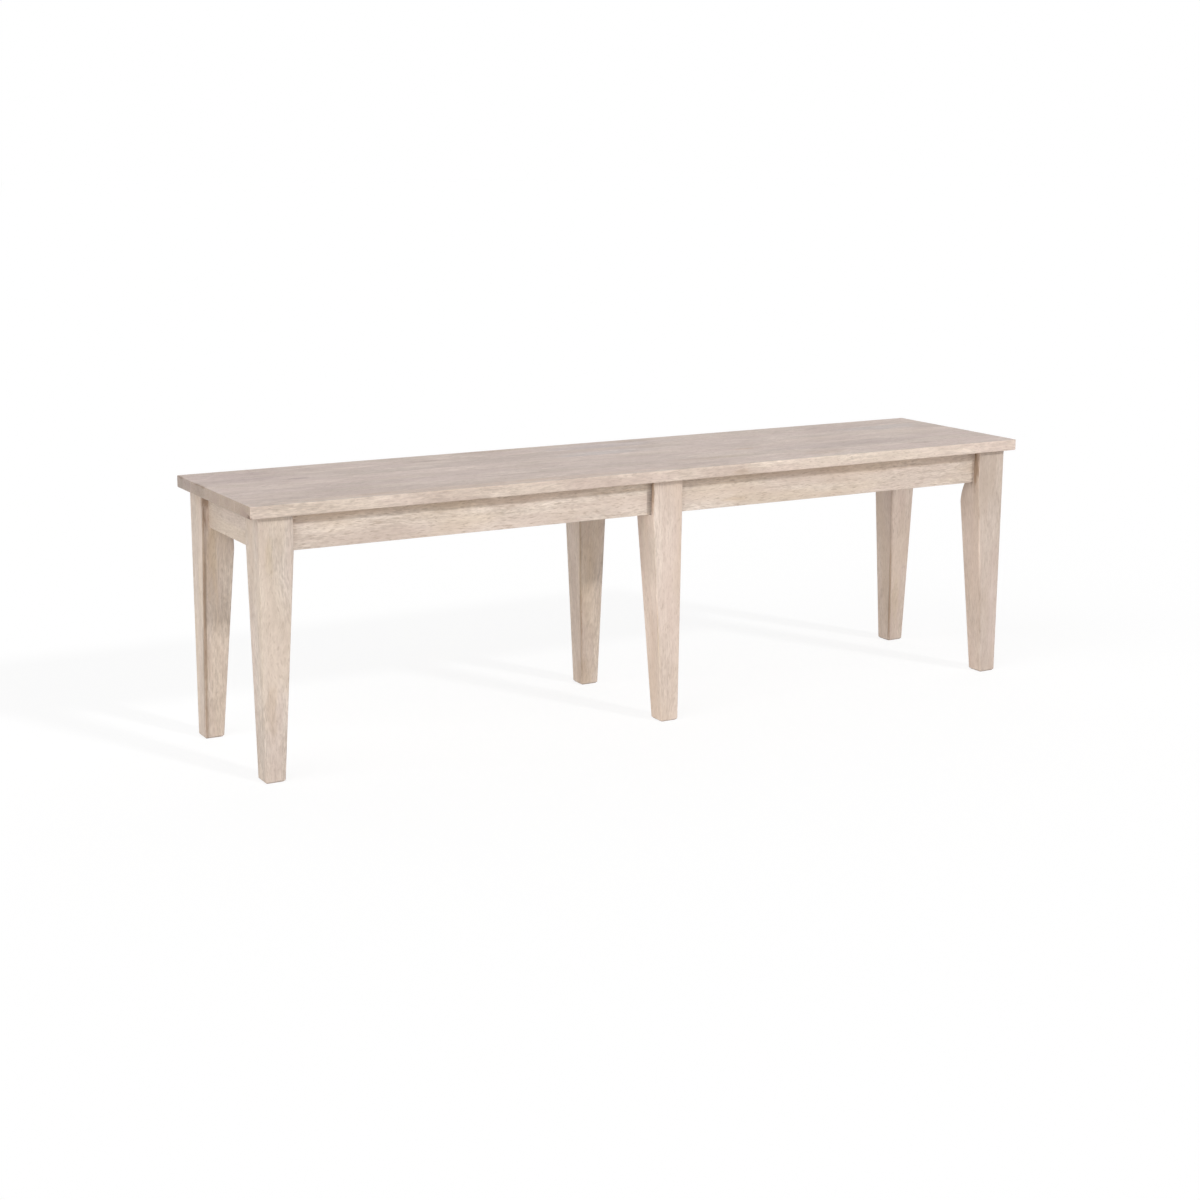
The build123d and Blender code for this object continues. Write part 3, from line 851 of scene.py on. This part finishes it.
black_steel = plated_steel("black_screws", bright=(0.10, 0.10, 0.10), dull=(0.05, 0.05, 0.05))
for fitting in ("corner_block_screws", "seat_screws", "batten_screws"):
    dress(fitting, black_steel)


def seen_or_mirrored(tree):
    """1 for rays from the camera and for those that shine back from or pass through the bench, else 0."""
    path = new_tree_node(tree, "ShaderNodeLightPath")
    seen = worked_out(tree, "ADD", path.outputs["Is Camera Ray"], path.outputs["Is Glossy Ray"], clamp=True)
    return worked_out(tree, "ADD", seen, path.outputs["Is Transmission Ray"], clamp=True)


def white_floor():
    """A white floor that keeps the bench's shadow, shows as pure white outside it and is clear from below."""
    material, tree, shader = new_material("white_floor")
    tree.nodes.remove(shader)
    plain = new_tree_node(tree, "ShaderNodeBsdfDiffuse")
    feed_all(tree, plain.inputs, Color=toned((floor_colour,) * 3, 1.0))
    shadowed = new_tree_node(tree, "ShaderNodeBsdfDiffuse")
    feed_all(tree, shadowed.inputs, Color=toned((floor_colour,) * 3, floor_shadow_share))
    glow = new_tree_node(tree, "ShaderNodeEmission")
    feed_all(tree, glow.inputs, Strength=1.0 - floor_light * floor_colour * floor_shadow_share)
    seen = new_tree_node(tree, "ShaderNodeAddShader")
    feed(tree, glow.outputs["Emission"], seen.inputs[0])
    feed(tree, shadowed.outputs["BSDF"], seen.inputs[1])
    above = mixed_shaders(tree, seen_or_mirrored(tree), plain.outputs["BSDF"], seen.outputs["Shader"])
    clear = new_tree_node(tree, "ShaderNodeBsdfTransparent")
    from_below = new_tree_node(tree, "ShaderNodeNewGeometry")
    whole = mixed_shaders(tree, from_below.outputs["Backfacing"], above, clear.outputs["BSDF"])
    feed(tree, whole, tree.nodes["Material Output"].inputs["Surface"])
    return material


def lay_floor():
    """A wide flat floor under the feet."""
    shape = bmesh.new()
    bmesh.ops.create_grid(shape, x_segments=1, y_segments=1, size=floor_reach)
    mesh = bpy.data.meshes.new("floor")
    shape.to_mesh(mesh)
    shape.free()
    mesh.materials.append(white_floor())
    floor = bpy.data.objects.new("floor", mesh)
    bpy.context.scene.collection.objects.link(floor)


def hang_lamp(name, towards, level, spread):
    """A lamp far away on that side of the bench, as wide in the sky as spread, in degrees."""
    lamp = bpy.data.lights.new(name, "SUN")
    lamp.energy = level * math.pi
    lamp.angle = math.radians(spread)
    holder = bpy.data.objects.new(name, lamp)
    holder.rotation_mode = "QUATERNION"
    holder.rotation_quaternion = Vector(towards).to_track_quat("Z", "Y")
    bpy.context.scene.collection.objects.link(holder)


def light_sky():
    """A white sky, dimmer overhead: soft on the bench, plain white where it is seen or mirrored."""
    world = bpy.data.worlds.new("studio")
    world.use_nodes = True
    tree = world.node_tree
    direction = new_tree_node(tree, "ShaderNodeTexCoord")
    height = new_tree_node(tree, "ShaderNodeSeparateXYZ")
    feed(tree, direction.outputs["Generated"], height.inputs["Vector"])
    fall = new_tree_node(tree, "ShaderNodeMapRange")
    feed_all(tree, fall.inputs, Value=height.outputs["Z"], To_Min=horizon_level, To_Max=zenith_level)
    dim = tree.nodes["Background"]
    feed_all(tree, dim.inputs, Color=toned((1, 1, 1), 1.0), Strength=fall.outputs["Result"])
    white = new_tree_node(tree, "ShaderNodeBackground")
    feed_all(tree, white.inputs, Color=toned((1, 1, 1), 1.0))
    whole = mixed_shaders(
        tree, seen_or_mirrored(tree), dim.outputs["Background"], white.outputs["Background"]
    )
    feed(tree, whole, tree.nodes["World Output"].inputs["Surface"])
    bpy.context.scene.world = world


def stand_camera():
    """The camera where the photograph was taken from."""
    lens = bpy.data.cameras.new("camera")
    lens.sensor_width = sensor_width
    lens.lens = focal_pixels / frame_pixels * sensor_width
    lens.shift_x = (frame_pixels / 2 - axis_pixel_x) / frame_pixels
    lens.shift_y = (axis_pixel_y - frame_pixels / 2) / frame_pixels
    camera = bpy.data.objects.new("camera", lens)
    ahead = Vector(
        (
            -math.sin(camera_yaw) * math.cos(camera_pitch),
            math.cos(camera_yaw) * math.cos(camera_pitch),
            -math.sin(camera_pitch),
        )
    )
    camera.rotation_mode = "QUATERNION"
    camera.rotation_quaternion = ahead.to_track_quat("-Z", "Y") @ Quaternion((0, 0, 1), -camera_roll)
    camera.location = camera_place
    bpy.context.scene.collection.objects.link(camera)
    bpy.context.scene.camera = camera


lay_floor()
for lamp_name, lamp_settings in lamps.items():
    hang_lamp(lamp_name, **lamp_settings)
light_sky()
stand_camera()
bpy.context.scene.view_settings.view_transform = "Standard"
